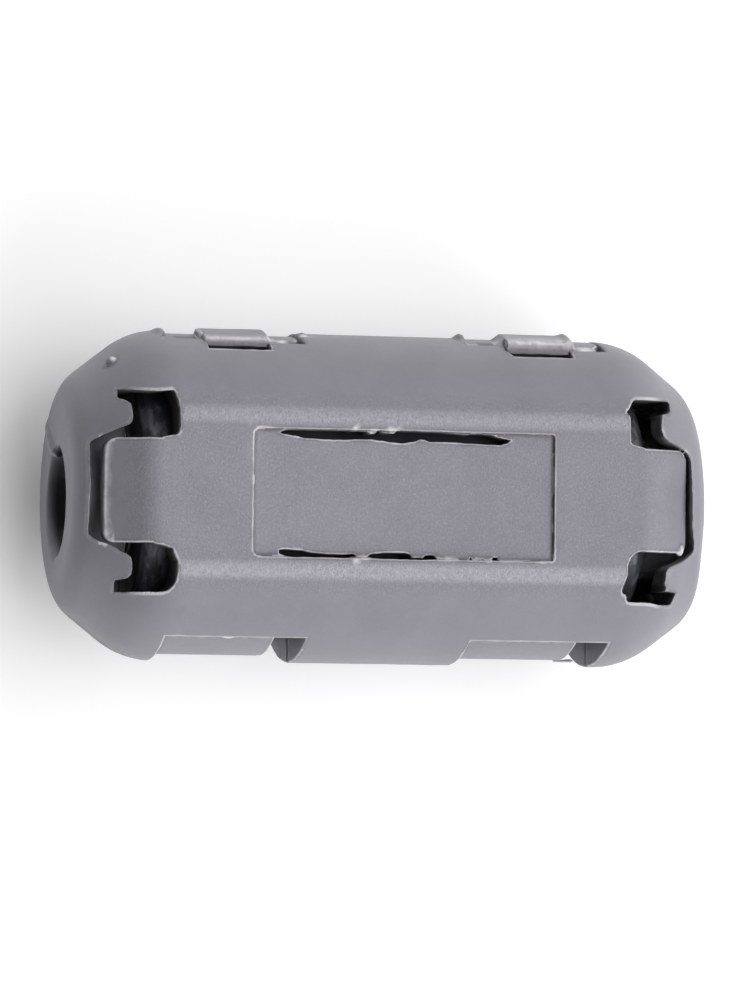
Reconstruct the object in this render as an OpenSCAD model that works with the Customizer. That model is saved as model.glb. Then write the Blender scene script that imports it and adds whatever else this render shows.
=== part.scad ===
// Clip-on ferrite bead: a noise filter for a round cable.
// Two plastic half shells are joined along one side by two living hinge straps
// and snap shut on the other side with two latch arms. Each shell carries one
// half of a ferrite ring core. All sizes are in millimetres.
// The cable runs along X, the parting plane is Z = 0, the straps are on the -Y
// side and the latch arms on the +Y side.

/* [Case] */
// Overall length of the case along the cable
case_len = 25; // [24:0.1:27]
// Diameter of the round case
case_dia = 12.8; // [12.6:0.1:13.4]
// Height over the two flats
flat_height = 11.3; // [11.1:0.1:11.5]
// Distance from the centre to where the end chamfer starts
chamfer_start = 9.8; // [9.4:0.1:10]
// Diameter of the flat end face
end_face_dia = 8.6; // [8:0.1:9.2]
// Clearance between the two halves at the parting plane
parting_gap = 0.06; // [0.04:0.01:0.12]

/* [Cable hole] */
// Diameter of the hole for the cable
cable_dia = 5; // [4:0.1:5.4]
// Thickness of the end walls round the cable hole
end_wall = 0.5; // [0.4:0.05:0.6]
// Wall of the collar round the cable hole, inside each end
collar_wall = 0.95; // [0.6:0.05:1]

/* [Ferrite core] */
// Outer diameter of the ferrite ring
core_dia = 9.6; // [9.2:0.1:9.7]
// Length of the ferrite ring
core_len = 20; // [19:0.1:20]
// Clearance round the core inside the case
core_gap = 0.1; // [0.05:0.05:0.15]
// Chamfer on the outer end edges of the core
core_chamfer = 0.3; // [0.1:0.05:0.5]

/* [Leaf panel] */
// Length of the sprung panel in the middle of each flat
panel_len = 11.9; // [10:0.1:12.5]
// Width of the sprung panel
panel_w = 4.9; // [4:0.1:5]
// Depth of the panel's step below the flat
panel_step = 0.18; // [0.1:0.01:0.25]
// Extra depth of the panel in its middle, where it bows towards the core
panel_bow = 0.14; // [0.05:0.01:0.2]
// Length of the slit along each long side of the panel
slit_len = 9.2; // [8:0.1:11]
// Width of those slits
slit_w = 0.2; // [0.15:0.05:0.3]

/* [End tongues] */
// Width of the tongue at each end of the flat
tongue_w = 3.9; // [3.4:0.1:4.2]
// Distance from the centre to the tongue's tip
tongue_tip = 11.5; // [11.2:0.05:11.6]
// Slope of the bent part of the tongue, in degrees
tongue_slope = 31; // [26:1:36]
// Thickness of the bent part of the tongue
tongue_t = 0.65; // [0.5:0.05:0.8]
// Distance from the centre to the inner edge of the square holes
hole_in = 8.9; // [8.7:0.05:9.2]
// Distance from the centre line to the outer edge of the square holes
hole_side = 3.9; // [3.7:0.05:4.1]

/* [Side notches] */
// Distance from the centre to the middle of each side notch
notch_x = 6.05; // [5.8:0.05:6.3]
// Width of each side notch
notch_w = 5.55; // [5.2:0.05:5.8]
// Height of the hinge notches above and below the parting plane
hinge_notch_h = 3.15; // [2.8:0.05:3.3]
// Height of the latch recess above the parting plane
latch_notch_h = 2.55; // [2.4:0.05:2.7]
// Depth of the latch recess in the lower shell, below the parting plane
latch_root = 1.7; // [1.4:0.1:2.2]

/* [Hinge straps] */
// Width of each living hinge strap
strap_w = 4.4; // [4:0.1:4.6]
// Thickness of the strap
strap_t = 0.45; // [0.35:0.05:0.6]
// Thickness of the thin web at the parting plane
web_t = 0.28; // [0.2:0.02:0.34]
// Depth of the strap's face below the round surface of the case
strap_sink = 0.2; // [0.1:0.05:0.3]
// Distance of the hinge axis outside the case's surface
axis_out = 0.05; // [0.03:0.01:0.1]

/* [Latches] */
// Width of each latch arm
arm_w = 5; // [4.6:0.1:5.1]
// Thickness of the latch arm
arm_t = 0.65; // [0.5:0.05:0.7]
// Width of the hook in the middle of the arm
hook_w = 2.4; // [2.2:0.1:2.6]
// How far the hook stands proud of the case
hook_proud = 0.25; // [0.1:0.05:0.35]
// Width of the slot that the hook catches in
slot_w = 2.6; // [2.4:0.1:2.8]
// Height of the top of the slot above the parting plane
slot_top = 3.25; // [3.1:0.05:3.4]
// Height of the ledge that the hook catches on
ledge_h = 2.4; // [2.3:0.05:2.45]

/* [Hidden] */

fine = 128;
big = 40;
R = case_dia / 2;            // outer radius of the case
H = flat_height / 2;         // height of the flats
L = case_len / 2;            // half length
face_r = end_face_dia / 2;
cable_r = cable_dia / 2;
core_r = core_dia / 2;
cav_r = core_r + core_gap;   // radius of the core's seat
cav_x = core_len / 2 + 0.05; // half length of the core's seat
hg = parting_gap / 2;
wall_x = L - end_wall;       // inner face of the end walls
floor_r = 5.55;              // radius of the floor behind the latch arms
arm_r = R - 0.1;             // outer radius of the latch arms
case_grey = [0.55, 0.55, 0.58];

// A corner b of the outline, rounded over the distance c on each side.
function toward(a, b, c) = a + (b - a) * min(c, 0.45 * norm(b - a)) / norm(b - a);
function corner(a, b, c, d, n = 4) =
    let (p = toward(b, a, d), q = toward(b, c, d))
    [for (i = [0:n]) let (t = i / n) (1 - t) * (1 - t) * p + 2 * t * (1 - t) * b + t * t * q];

// Outline of one quarter of the case, as [radius, distance along the cable].
v0 = [R, 0];
v1 = [R, chamfer_start];
v2 = [face_r, L];
v3 = [0, L];
quarter = concat([v0], corner(v0, v1, v2, 1.2), corner(v1, v2, v3, 0.8), [v3]);

module along_x() { rotate([0, 90, 0]) children(); }
module at_x(x) { translate([x, 0, 0]) children(); }
module both_ends() { children(); mirror([1, 0, 0]) children(); }
module both_sides() { children(); mirror([0, 1, 0]) children(); }

module bar(r, half) { along_x() translate([0, 0, -half]) cylinder(r = r, h = 2 * half, $fn = fine); }

// The closed case as one solid form: a chamfered barrel with two flats.
module barrel() {
    intersection() {
        along_x() rotate_extrude($fn = fine)
            polygon(concat(quarter, [for (i = [len(quarter) - 1:-1:1]) [quarter[i][0], -quarter[i][1]]]));
        translate([-big, -big, -H]) cube([2 * big, 2 * big, 2 * H]);
    }
}

// Space for the core, the cable and the end chambers.
module hollow() {
    bar(cav_r, cav_x);
    bar(cable_r, L + 1);
    both_ends() intersection() {
        along_x() rotate_extrude($fn = fine)
            polygon([[0, cav_x - 0.2], [cav_r, cav_x - 0.2], [cav_r, cav_x + 0.1], [3.55, wall_x], [0, wall_x]]);
        translate([0, -hole_side, -big]) cube([big, 2 * hole_side, 2 * big]);
    }
}

// Collars round the cable hole, on the inside of the end walls.
module collars() {
    both_ends() at_x((wall_x + 0.1 + cav_x + 0.25) / 2) difference() {
        bar(cable_r + collar_wall, (wall_x + 0.1 - cav_x - 0.25) / 2);
        bar(cable_r, 2);
    }
}

// Plan of one square hole beside the tongue, with the end cap's nib in it,
// running into the slit past the tongue's tip.
module hole_plan() {
    y0 = tongue_w / 2;
    polygon([
        [hole_in, y0], [hole_in, hole_side - 0.3], [hole_in + 0.08, hole_side - 0.1], [hole_in + 0.3, hole_side],
        [11.05, hole_side], [11.03, hole_side - 0.42], [10.75, hole_side - 0.5], [10.55, 3.15], [10.48, 2.95],
        [10.55, 2.7], [10.75, 2.45], [11.45, 2.17], [11.9, 1.95], [wall_x, 1.75], [wall_x, -0.1],
        [tongue_tip, -0.1], [tongue_tip, y0 - 0.25], [tongue_tip - 0.08, y0 - 0.08], [tongue_tip - 0.25, y0]
    ]);
}

// Side view of the tongue's bent part, as [distance along the cable, height].
sl = tan(tongue_slope);
bend_x = 9.45;
bend_end = 10.25;
drop = (bend_end - bend_x) * sl / 2;
tip_z = H - drop - (tongue_tip - bend_end) * sl;
bend = [for (i = [0:4]) let (t = i / 4) [bend_x + t * (bend_end - bend_x), H - drop * t * t]];

module tongue_above() {
    translate([0, tongue_w / 2 + 0.02, 0]) rotate([90, 0, 0])
        linear_extrude(height = tongue_w + 0.04)
            polygon(concat(bend, [[11.75, H - drop - (11.75 - bend_end) * sl], [11.75, H + 1], [bend_x, H + 1]]));
}
module tongue_below() {
    translate([0, tongue_w / 2, 0]) rotate([90, 0, 0])
        linear_extrude(height = tongue_w)
            polygon(concat(bend, [
                [tongue_tip, tip_z], [tongue_tip - 0.05, tip_z - 0.4], [tongue_tip - 0.25, tip_z - tongue_t + 0.1],
                [cav_x + 0.02, H - drop - tongue_t], [cav_x + 0.02, cav_r + 0.03], [bend_x - 0.6, cav_r + 0.03],
                [bend_x - 0.6, H]
            ]));
}

// Step and bow of the leaf panel, cut from above.
module panel_cut() {
    pl = panel_len / 2;
    n = 10;
    translate([0, panel_w / 2, 0]) rotate([90, 0, 0]) linear_extrude(height = panel_w)
        polygon(concat(
            [for (i = [0:n]) let (t = 2 * i / n - 1) [t * pl, H - panel_step - panel_bow * (1 - t * t)]],
            [[pl, H + 1], [-pl, H + 1]]));
    both_sides() translate([-slit_len / 2, panel_w / 2 - slit_w, 0]) cube([slit_len, slit_w, H + 1]);
}

// Openings on one side of a half: straps' notches on -Y.
module hinge_notches() {
    both_ends() translate([notch_x - notch_w / 2, -big, -1]) cube([notch_w, big - 3.5, 1 + hinge_notch_h]);
}

// One half shell above the parting plane, with its notches for the straps.
module half_shell() {
    difference() {
        union() {
            difference() {
                barrel();
                hollow();
                both_ends() both_sides() translate([0, 0, 2]) linear_extrude(height = 5) hole_plan();
            }
            both_ends() tongue_below();
            collars();
        }
        both_ends() tongue_above();
        panel_cut();
        hinge_notches();
        translate([-big, -big, hg - 2 * big]) cube([2 * big, 2 * big, 2 * big]);
    }
}

// Recess for a latch arm, h high above the parting plane.
module latch_recess(h) {
    difference() {
        translate([notch_x - notch_w / 2, 3, -1]) cube([notch_w, big, 1 + h]);
        bar(floor_r, L + 2);
    }
}

module upper_shell() color(case_grey) {
    difference() {
        half_shell();
        both_ends() latch_recess(latch_notch_h);
        both_ends() translate([notch_x - slot_w / 2, 3.5, ledge_h]) cube([slot_w, big, slot_top - ledge_h]);
    }
}

module lower_shell() color(case_grey) {
    mirror([0, 0, 1]) difference() {
        half_shell();
        both_ends() latch_recess(latch_root);
    }
}

// One half of the ferrite ring.
module half_core() {
    difference() {
        along_x() rotate_extrude($fn = fine) polygon([
            [cable_r, -core_len / 2], [core_r - core_chamfer, -core_len / 2], [core_r, -core_len / 2 + core_chamfer],
            [core_r, core_len / 2 - core_chamfer], [core_r - core_chamfer, core_len / 2], [cable_r, core_len / 2]
        ]);
        translate([-big, -big, hg - 2 * big]) cube([2 * big, 2 * big, 2 * big]);
    }
}

module upper_core() color([0.2, 0.2, 0.21]) half_core();
module lower_core() color([0.2, 0.2, 0.21]) mirror([0, 0, 1]) half_core();

// A living hinge strap: a curved leaf that thins to a web at the parting plane.
// It stands against the notch's side nearer the -X end.
module strap(x_mid) {
    ro = R - strap_sink;
    color(case_grey) intersection() {
        difference() {
            bar(ro, L);
            bar(ro - strap_t, L + 1);
            // the groove behind the web
            translate([0, -(ro - web_t), 0]) along_x() translate([0, 0, -L - 1])
                linear_extrude(height = 2 * L + 2)
                    polygon([[-0.95, 0.6], [-0.95, 0.2], [-0.4, 0], [0.4, 0], [0.95, 0.2], [0.95, 0.6]]);
        }
        translate([x_mid - notch_w / 2 + 0.04, -big, -hinge_notch_h])
            cube([strap_w, big, 2 * hinge_notch_h - 0.03]);
    }
}
module hinge_strap_left() strap(-notch_x);
module hinge_strap_right() strap(notch_x);

// A latch arm: a curved plate rooted in the lower shell, with a hook in its middle
// that stands proud of the case and catches over the ledge in the upper shell.
module latch_arm(x_mid) {
    x0 = x_mid - notch_w / 2 + 0.04;
    color(case_grey) union() {
        intersection() {
            difference() { bar(arm_r, L); bar(arm_r - arm_t, L + 1); }
            translate([x0, 0, -latch_root]) cube([arm_w, big, latch_root + latch_notch_h - 0.06]);
        }
        intersection() {
            difference() { bar(arm_r + 0.1, L); bar(cav_r + 0.3, L + 1); }
            translate([x_mid - hook_w / 2, 0, ledge_h + 0.06]) cube([hook_w, big, 0.5]);
        }
        intersection() {
            difference() { bar(R + hook_proud, L); bar(arm_r - arm_t / 2, L + 1); }
            translate([x_mid - hook_w / 2, 0, 0.7]) cube([hook_w, big, ledge_h - 0.5]);
        }
    }
}
module latch_arm_left() latch_arm(-notch_x);
module latch_arm_right() latch_arm(notch_x);

lower_shell();
upper_shell();
lower_core();
upper_core();
hinge_strap_left();
hinge_strap_right();
latch_arm_left();
latch_arm_right();
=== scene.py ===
"""Clip-on ferrite bead: a grey moulded case in two halves on two living hinges, with a split ferrite ring inside.

Each visible piece is modelled here as a distance field in millimetres, with the same sizes as the
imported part, and turned into a mesh by dual contouring. The fields are written for a half that faces
up; the lower half is the same with z reversed.
"""

import bmesh
import bpy
import numpy as np
from mathutils import Matrix, Vector
from mathutils.kdtree import KDTree


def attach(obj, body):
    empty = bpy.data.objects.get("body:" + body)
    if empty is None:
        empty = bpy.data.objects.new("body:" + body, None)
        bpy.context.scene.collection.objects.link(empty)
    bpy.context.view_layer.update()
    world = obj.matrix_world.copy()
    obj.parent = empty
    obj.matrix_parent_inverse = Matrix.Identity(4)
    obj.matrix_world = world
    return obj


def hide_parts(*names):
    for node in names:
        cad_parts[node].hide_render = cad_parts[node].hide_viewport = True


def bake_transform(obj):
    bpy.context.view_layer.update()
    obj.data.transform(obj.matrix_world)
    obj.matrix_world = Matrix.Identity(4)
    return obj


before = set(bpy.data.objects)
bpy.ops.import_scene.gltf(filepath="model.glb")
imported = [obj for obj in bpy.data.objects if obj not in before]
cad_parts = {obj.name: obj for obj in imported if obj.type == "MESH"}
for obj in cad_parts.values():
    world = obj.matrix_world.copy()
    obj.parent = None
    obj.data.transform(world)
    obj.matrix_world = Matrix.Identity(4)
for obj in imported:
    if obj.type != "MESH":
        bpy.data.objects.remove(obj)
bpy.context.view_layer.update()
MM = 0.001

# ---------------------------------------------------------------- sizes of the part, in mm
R, H, L = 6.4, 5.65, 12.5  # outer radius, height of the flats, half length
CONE_X, FACE_R = 9.8, 4.3  # the ends narrow from here to this radius
CAB_R, CAV_R, CAV_X = 2.5, 4.9, 10.05  # cable hole, core's seat
END_L, END_R, END_Y = 2.12, 2.1, -0.27  # cable hole in the end walls; the left one is off centre
CORE_R, CORE_X, CORE_C = 4.8, 10.0, 0.3
GAP = 0.03  # half of the parting gap
WALL_L, WALL_R = 12.1, 11.68  # inner faces of the end walls beside the slits
COLLAR_R, COLLAR_X = 3.45, 10.3  # collars round the cable hole, behind the slits
TW, TIP, SLOPE, TT = 2.0, 11.54, np.tan(np.radians(31)), 0.65  # end tongues
BEND_X, BEND_END = 9.45, 10.25
DROP = (BEND_END - BEND_X) * SLOPE / 2
NX, NW = 6.05, 5.55  # middle and width of the side notches
HNH, LNH, LROOT = 3.22, 2.55, 1.7  # their heights
PL, PW, PSTEP, PBOW = 5.95, 2.45, 0.18, 0.14  # leaf panel
FLOOR_R, ARM_R, ARM_T = 5.55, 6.3, 0.65
SLOT_W, SLOT_TOP, LEDGE = 2.6, 3.19, 2.4
STRAP_R, STRAP_T, WEB_T = 6.15, 0.42, 0.28

# ---------------------------------------------------------------- field helpers


def smax(a, b, k):
    """Intersection of two fields, with its edge rounded over about k."""
    h = np.maximum(k - np.abs(a - b), 0.0)
    return np.maximum(a, b) + h * h / (4 * k)


def smin(a, b, k):
    h = np.maximum(k - np.abs(a - b), 0.0)
    return np.minimum(a, b) - h * h / (4 * k)


LATTICE = np.random.default_rng(20).uniform(-1, 1, 64**3).astype(np.float32)


def noise(p, scale, seed=0):
    """Smooth value noise from -1 to 1, with features about scale mm across."""
    q = p * (1.0 / np.asarray(scale, float)) + np.array([7.31, 3.77, 5.13]) * (seed + 1)
    i = np.floor(q).astype(np.int64)
    f = (q - i).astype(np.float32)
    f = f * f * (3 - 2 * f)
    a, b = i & 63, (i + 1) & 63
    x0, x1 = a[:, 0] << 12, b[:, 0] << 12
    y0, y1 = a[:, 1] << 6, b[:, 1] << 6
    z0, z1 = a[:, 2], b[:, 2]
    t = LATTICE

    def mix(u, v, w):
        return u + (v - u) * w

    fx, fy, fz = f[:, 0], f[:, 1], f[:, 2]
    c0 = mix(mix(t[x0 + y0 + z0], t[x1 + y0 + z0], fx), mix(t[x0 + y1 + z0], t[x1 + y1 + z0], fx), fy)
    c1 = mix(mix(t[x0 + y0 + z1], t[x1 + y0 + z1], fx), mix(t[x0 + y1 + z1], t[x1 + y1 + z1], fx), fy)
    return mix(c0, c1, fz)


def along(x, points):
    """Eased value along x through a few (x, value) pairs."""
    xs = np.array([a for a, _ in points], float)
    ys = np.array([b for _, b in points], float)
    i = np.clip(np.searchsorted(xs, x) - 1, 0, len(xs) - 2)
    t = np.clip((x - xs[i]) / (xs[i + 1] - xs[i]), 0, 1)
    t = t * t * (3 - 2 * t)
    return ys[i] + (ys[i + 1] - ys[i]) * t


def polygon(u, v, corners):
    """Signed distance to a closed polygon, negative inside."""
    c = np.array(corners, float)
    d = np.full(u.shape, 1e9)
    inside = np.zeros(u.shape, bool)
    for (x0, y0), (x1, y1) in zip(c, np.roll(c, -1, 0)):
        ex, ey = x1 - x0, y1 - y0
        wx, wy = u - x0, v - y0
        t = np.clip((wx * ex + wy * ey) / (ex * ex + ey * ey), 0, 1)
        d = np.minimum(d, (wx - ex * t) ** 2 + (wy - ey * t) ** 2)
        if abs(ey) > 1e-12:
            inside ^= ((y0 > v) != (y1 > v)) & (wx < (v - y0) * ex / ey)
    return np.where(inside, -1, 1) * np.sqrt(d)


def rounded_box(x, y, hx, hy, r):
    """Plan of a box of half sizes hx and hy whose corners have the radius r."""
    a, b = np.abs(x) - hx + r, np.abs(y) - hy + r
    return np.minimum(np.maximum(a, b), 0) + np.hypot(np.maximum(a, 0), np.maximum(b, 0)) - r


def ball(p, centre, size):
    """Ellipsoid with those half sizes."""
    q = (p - np.array(centre, float)) / np.array(size, float)
    return (np.linalg.norm(q, axis=1) - 1) * min(size)


# ---------------------------------------------------------------- from a field to a mesh


def contour(field, low, high, h, block=8, margin=0.4):
    """Dual contouring of field(p) < 0 on a grid of pitch h. Returns vertices and quads."""
    low = np.asarray(low, float)
    n = np.ceil((np.asarray(high, float) - low) / h / block).astype(int) * block
    nb = n // block
    axes = [low[i] + (np.arange(nb[i]) + 0.5) * block * h for i in range(3)]
    centres = np.stack(np.meshgrid(*axes, indexing="ij"), -1).reshape(-1, 3)
    near = (np.abs(field(centres)) < block * h * np.sqrt(3) / 2 + margin).reshape(nb)
    near = np.repeat(np.repeat(np.repeat(near, block, 0), block, 1), block, 2)
    need = np.zeros(n + 1, bool)
    for i in (0, 1):
        for j in (0, 1):
            for k in (0, 1):
                need[i : i + n[0], j : j + n[1], k : k + n[2]] |= near
    index = np.argwhere(need)
    value = np.empty(len(index), np.float32)
    for s in range(0, len(index), 300000):
        value[s : s + 300000] = field(low + index[s : s + 300000] * h)
    grid = np.full(n + 1, np.nan, np.float32)
    grid[need] = value
    stride = np.array([n[1] * n[2], n[2], 1])
    points, cells, quads = [], [], []
    for a in range(3):
        b, c = (a + 1) % 3, (a + 2) % 3
        s0, s1, inner = [slice(None)] * 3, [slice(None)] * 3, [slice(None)] * 3
        s0[a], s1[a] = slice(0, n[a]), slice(1, n[a] + 1)
        va, vb = grid[tuple(s0)], grid[tuple(s1)]
        cross = ((va < 0) != (vb < 0)) & ~(np.isnan(va) | np.isnan(vb))
        inner[b], inner[c] = slice(1, n[b]), slice(1, n[c])
        allowed = np.zeros_like(cross)
        allowed[tuple(inner)] = True
        cross &= allowed
        e = np.argwhere(cross)
        fa, fb = va[cross].astype(float), vb[cross].astype(float)
        t = fa / (fa - fb)
        p = low + e * h
        p[:, a] += t * h
        f = chunked(field, p)
        same = (f < 0) == (fa < 0)
        t0, f0 = np.where(same, t, 0.0), np.where(same, f, fa)
        t1, f1 = np.where(same, 1.0, t), np.where(same, fb, f)
        den = f0 - f1
        ok = np.abs(den) > 1e-12
        t = np.where(ok, t0 + (t1 - t0) * f0 / np.where(ok, den, 1), t)
        p[:, a] = low[a] + (e[:, a] + t) * h
        points.append(p)
        around = []
        for db, dc in ((0, 0), (1, 0), (1, 1), (0, 1)):
            cell = e.copy()
            cell[:, b] -= db
            cell[:, c] -= dc
            around.append(cell @ stride)
        around = np.stack(around, 1)
        cells.append(around)
        quads.append(np.where((fa < 0)[:, None], around, around[:, ::-1]))
    points, cells, quads = map(np.concatenate, (points, cells, quads))
    normals = gradient(field, points, 0.004)
    used, place = np.unique(cells.ravel(), return_inverse=True)
    place = place.ravel()
    source = np.repeat(np.arange(len(points)), 4)
    count = np.bincount(place, minlength=len(used)).astype(float)
    p4, g4 = points[source], normals[source]
    mass = np.stack([np.bincount(place, p4[:, k], len(used)) for k in range(3)], 1) / count[:, None]
    pull = (g4 * (p4 - mass[place])).sum(1)
    ata = np.zeros((len(used), 3, 3))
    atb = np.zeros((len(used), 3))
    for i in range(3):
        atb[:, i] = np.bincount(place, g4[:, i] * pull, len(used))
        for j in range(i, 3):
            ata[:, i, j] = ata[:, j, i] = np.bincount(place, g4[:, i] * g4[:, j], len(used))
    ata[:, range(3), range(3)] += 0.08
    shift = np.linalg.solve(ata, atb[..., None])[..., 0]
    corner = low + np.stack(np.unravel_index(used, tuple(n)), 1) * h
    verts = np.clip(mass + shift, corner + 0.02 * h, corner + 0.98 * h)
    return verts, np.searchsorted(used, quads)


def chunked(field, p):
    out = np.empty(len(p))
    for s in range(0, len(p), 300000):
        out[s : s + 300000] = field(p[s : s + 300000])
    return out


def gradient(field, p, e, unit=True):
    g = np.empty((len(p), 3))
    for k in range(3):
        step = np.zeros(3)
        step[k] = e
        g[:, k] = chunked(lambda q: field(q + step) - field(q - step), p) / (2 * e)
    if not unit:
        return g
    return g / np.maximum(np.linalg.norm(g, axis=1, keepdims=True), 1e-9)


def edges(field, p, probe=0.1):
    """The vertices that lie on convex edges and those that lie in concave ones."""
    g = gradient(field, p, 0.05, False)
    size = np.linalg.norm(g, axis=1)
    on = size < 0.86
    n = g[on] / np.maximum(size[on], 1e-9)[:, None]
    q = p[on]
    inward = 1 + chunked(field, q - n * probe) / probe
    outward = 1 - chunked(field, q + n * probe) / probe
    return q[inward > 0.12], q[outward > 0.12]


def distance_to(points, p, most):
    """Distance from every p to the nearest of the points, up to most."""
    out = np.full(len(p), most)
    if len(points):
        tree = KDTree(len(points))
        for i, q in enumerate(points):
            tree.insert(q, i)
        tree.balance()
        out = np.minimum([tree.find(q)[2] for q in p], most)
    return out


def new_mesh(name, verts, faces):
    mesh = bpy.data.meshes.new(name)
    mesh.vertices.add(len(verts))
    mesh.vertices.foreach_set("co", verts.astype(np.float32).ravel())
    mesh.loops.add(faces.size)
    mesh.loops.foreach_set("vertex_index", faces.astype(np.int32).ravel())
    mesh.polygons.add(len(faces))
    mesh.polygons.foreach_set("loop_start", np.arange(len(faces), dtype=np.int32) * faces.shape[1])
    mesh.update(calc_edges=True)
    mesh.validate()
    return mesh


def read(items, key, dtype, width):
    out = np.empty(len(items) * width, dtype)
    items.foreach_get(key, out)
    return out.reshape(-1, width) if width > 1 else out


def split_long(mesh, most=0.75, limit=192000):
    """Splits edges longer than that, the longest first and up to that many triangles in all, so that no
    mask is carried far along a thin triangle."""
    bm = bmesh.new()
    bm.from_mesh(mesh)
    for _ in range(5):
        longest = sorted((e for e in bm.edges if e.calc_length() > most), key=lambda e: -e.calc_length())
        longest = longest[: max(limit - len(bm.faces), 0) // 2]
        if not longest:
            break
        bmesh.ops.subdivide_edges(bm, edges=longest, cuts=1)
        bmesh.ops.triangulate(bm, faces=[f for f in bm.faces if len(f.verts) > 3])
    bm.to_mesh(mesh)
    bm.free()


def from_edge(field, p, n, far, probe=0.15):
    """Distance to the nearest convex edge: measured through the material close to one, else the distance far."""
    near = chunked(field, p) - chunked(field, p - n * probe)
    near = np.where(near < 0.125, np.maximum(near, 0), np.maximum(far, 0.125))
    return np.where(far < 0.055, np.minimum(near, far * 0.4), near)


def build(name, field, low, high, h, triangles, flip=False, masks=None, plain=None):
    """Makes a piece from a field: contours it, thins the mesh to that many triangles, puts the vertices
    back on the surface and stores the smooth normals and the masks that its material reads. plain is the
    field without its finest relief, which the edges are found on."""
    verts, quads = contour(field, low, high, h)
    plain = plain or field
    convex, concave = edges(plain, verts)
    mesh = new_mesh(name, verts, quads)
    o = bpy.data.objects.new(name, mesh)
    bpy.context.scene.collection.objects.link(o)
    have = 2 * len(quads)
    if have > triangles:
        thin = o.modifiers.new("thin", "DECIMATE")
        thin.ratio = triangles / have
        done = bpy.data.meshes.new_from_object(o.evaluated_get(bpy.context.evaluated_depsgraph_get()))
        o.modifiers.clear()
        o.data = done
        bpy.data.meshes.remove(mesh)
        mesh = done
    split_long(mesh)
    mesh.name = name
    p = read(mesh.vertices, "co", np.float32, 3).astype(float)
    g = gradient(field, p, 0.02)
    p -= g * np.clip(chunked(field, p), -0.02, 0.02)[:, None]
    g = gradient(field, p, 0.02)
    smooth = gradient(plain, p, 0.02)
    values = {"edge": from_edge(plain, p, smooth, distance_to(convex, p, 0.6)), "nook": distance_to(concave, p, 0.6)}
    for key, mask in (masks or {}).items():
        values[key] = mask(p)
    if flip:
        p[:, 2] *= -1
        g[:, 2] *= -1
        mesh.flip_normals()
    mesh.vertices.foreach_set("co", (p * MM).astype(np.float32).ravel())
    mesh.update()
    for key, value in values.items():
        mesh.attributes.new(key, "FLOAT", "POINT").data.foreach_set("value", value.astype(np.float32))
    mesh.attributes.new("place", "FLOAT_VECTOR", "POINT").data.foreach_set("vector", p.astype(np.float32).ravel())
    # smooth normals from the field, except where they would lean far from a face
    loops = read(mesh.loops, "vertex_index", np.int32, 1)
    start = read(mesh.polygons, "loop_start", np.int32, 1)
    total = read(mesh.polygons, "loop_total", np.int32, 1)
    face = read(mesh.polygons, "normal", np.float32, 3).astype(float)
    corner = g[loops]
    flat = np.repeat(face, total, axis=0)
    lean = (corner * flat).sum(1)
    w = np.clip((lean - 0.6) / 0.25, 0, 1)[:, None]
    corner = corner * w + flat * (1 - w)
    corner /= np.maximum(np.linalg.norm(corner, axis=1, keepdims=True), 1e-9)
    mesh.polygons.foreach_set("use_smooth", np.ones(len(start), bool))
    mesh.normals_split_custom_set(corner)
    return o


# ---------------------------------------------------------------- the half shell

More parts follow.
